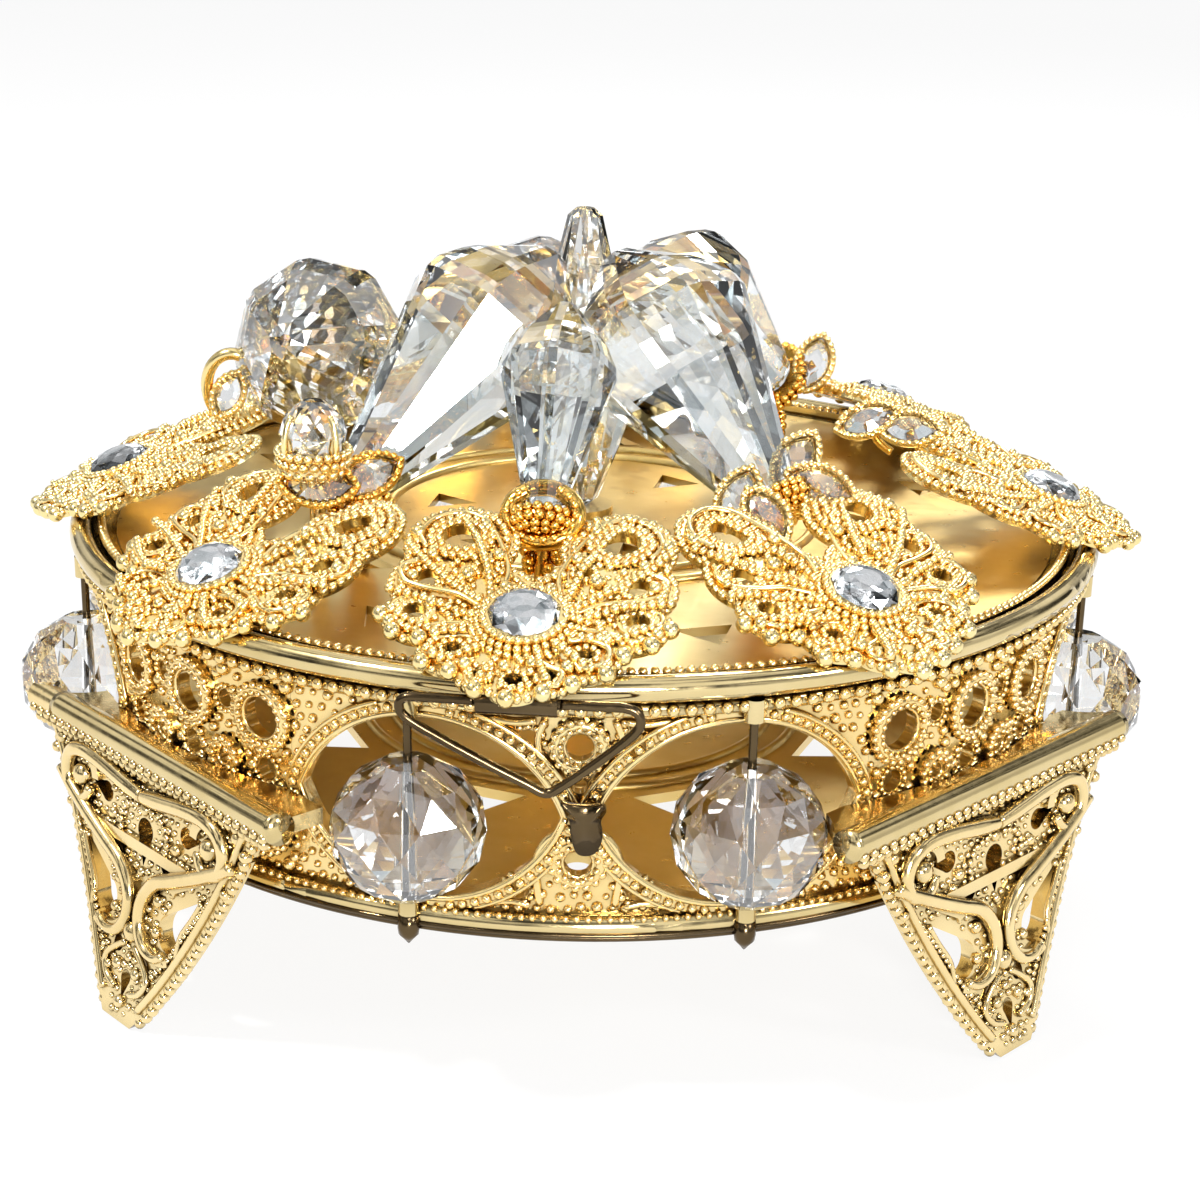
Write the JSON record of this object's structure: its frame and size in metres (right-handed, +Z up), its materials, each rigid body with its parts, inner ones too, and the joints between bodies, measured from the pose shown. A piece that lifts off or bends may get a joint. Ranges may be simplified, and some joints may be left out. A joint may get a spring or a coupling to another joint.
{
  "type": "glass casket box",
  "caption": "Round keepsake casket with a pierced gilt wall band on leaf feet, faceted crystal beads in its windows, and a hinged lid under filigree bows and long crystal drops.",
  "frame": {"origin": "bottom centre of the casket, in the plane of the feet's tips, on the axis of the round wall", "axes": "+Z up, +X to the viewer's right, +Y away from the viewer: the latch faces -Y and the hinge is at +Y"},
  "size_m": [0.1321, 0.1317, 0.0825],
  "materials": {
    "gilt_brass": "antiqued gilt, satin",
    "plate_gold": "brushed gilt",
    "dark_bronze": "dark bronze wire",
    "crystal": "cut and polished"
  },
  "bodies": {
    "casket_body": {"base_plate": "plate_gold", "bottom_rim": "gilt_brass", "top_rim": "gilt_brass", "wall_panel_front": "gilt_brass", "wall_panel_right": "gilt_brass", "wall_panel_back": "gilt_brass", "wall_panel_left": "gilt_brass", "corner_filigree_front_right": "gilt_brass", "corner_filigree_back_right": "gilt_brass", "corner_filigree_back_left": "gilt_brass", "corner_filigree_front_left": "gilt_brass", "foot_front_left": "gilt_brass", "foot_front_right": "gilt_brass", "foot_back_left": "gilt_brass", "foot_back_right": "gilt_brass", "bead_pins": "gilt_brass", "catch_tab": "dark_bronze", "hinge_leaf_body": "gilt_brass", "hinge_pin": "gilt_brass"},
    "lid": {"hinge_leaf_lid": "gilt_brass", "lid_ring": "gilt_brass", "lid_plate": "plate_gold", "filigree_bow_front": "gilt_brass", "filigree_bow_front_left": "gilt_brass", "filigree_bow_front_right": "gilt_brass", "filigree_bow_right": "gilt_brass", "filigree_bow_left": "gilt_brass", "filigree_bow_back_right": "gilt_brass", "filigree_bow_back_left": "gilt_brass", "filigree_bow_back": "gilt_brass", "stone_bezels": "gilt_brass", "rhinestones": "crystal", "crystal_drop_front_left": "crystal", "crystal_drop_front_right": "crystal", "crystal_drop_front": "crystal", "crystal_drop_back_right": "crystal", "crystal_drop_left": "crystal", "crystal_drop_back": "crystal", "crystal_finial": "crystal", "drop_bails": "gilt_brass", "stone_cup": "gilt_brass", "cup_stone": "crystal", "latch_tube": "dark_bronze"},
    "latch_bail": {"latch_bail": "dark_bronze"},
    "bead_front_left": {"crystal_bead_front_left": "crystal"},
    "bead_front_right": {"crystal_bead_front_right": "crystal"},
    "bead_right_front": {"crystal_bead_right_front": "crystal"},
    "bead_right_back": {"crystal_bead_right_back": "crystal"},
    "bead_back_right": {"crystal_bead_back_right": "crystal"},
    "bead_back_left": {"crystal_bead_back_left": "crystal"},
    "bead_left_back": {"crystal_bead_left_back": "crystal"},
    "bead_left_front": {"crystal_bead_left_front": "crystal"}
  },
  "joints": [
    {"name": "lid_hinge", "type": "hinge", "parent": "casket_body", "child": "lid", "pos_m": [0, 0.0642, 0.04455], "axis": [-1, 0, 0], "range_deg": [0, 98]},
    {"name": "latch_bail_pivot", "type": "hinge", "parent": "lid", "child": "latch_bail", "pos_m": [-0.00615, -0.0627, 0.04525], "axis": [-0.9952, 0.0976, 0], "range_deg": [0, 100]},
    {"name": "bead_spin_front_left", "type": "hinge", "parent": "casket_body", "child": "bead_front_left", "pos_m": [-0.0172, -0.05769, 0.02945], "axis": [0, 0, 1], "continuous": true},
    {"name": "bead_spin_front_right", "type": "hinge", "parent": "casket_body", "child": "bead_front_right", "pos_m": [0.0172, -0.05769, 0.02945], "axis": [0, 0, 1], "continuous": true},
    {"name": "bead_spin_right_front", "type": "hinge", "parent": "casket_body", "child": "bead_right_front", "pos_m": [0.05769, -0.0172, 0.02945], "axis": [0, 0, 1], "continuous": true},
    {"name": "bead_spin_right_back", "type": "hinge", "parent": "casket_body", "child": "bead_right_back", "pos_m": [0.05769, 0.0172, 0.02945], "axis": [0, 0, 1], "continuous": true},
    {"name": "bead_spin_back_right", "type": "hinge", "parent": "casket_body", "child": "bead_back_right", "pos_m": [0.0172, 0.05769, 0.02945], "axis": [0, 0, 1], "continuous": true},
    {"name": "bead_spin_back_left", "type": "hinge", "parent": "casket_body", "child": "bead_back_left", "pos_m": [-0.0172, 0.05769, 0.02945], "axis": [0, 0, 1], "continuous": true},
    {"name": "bead_spin_left_back", "type": "hinge", "parent": "casket_body", "child": "bead_left_back", "pos_m": [-0.05769, 0.0172, 0.02945], "axis": [0, 0, 1], "continuous": true},
    {"name": "bead_spin_left_front", "type": "hinge", "parent": "casket_body", "child": "bead_left_front", "pos_m": [-0.05769, -0.0172, 0.02945], "axis": [0, 0, 1], "continuous": true}
  ]
}
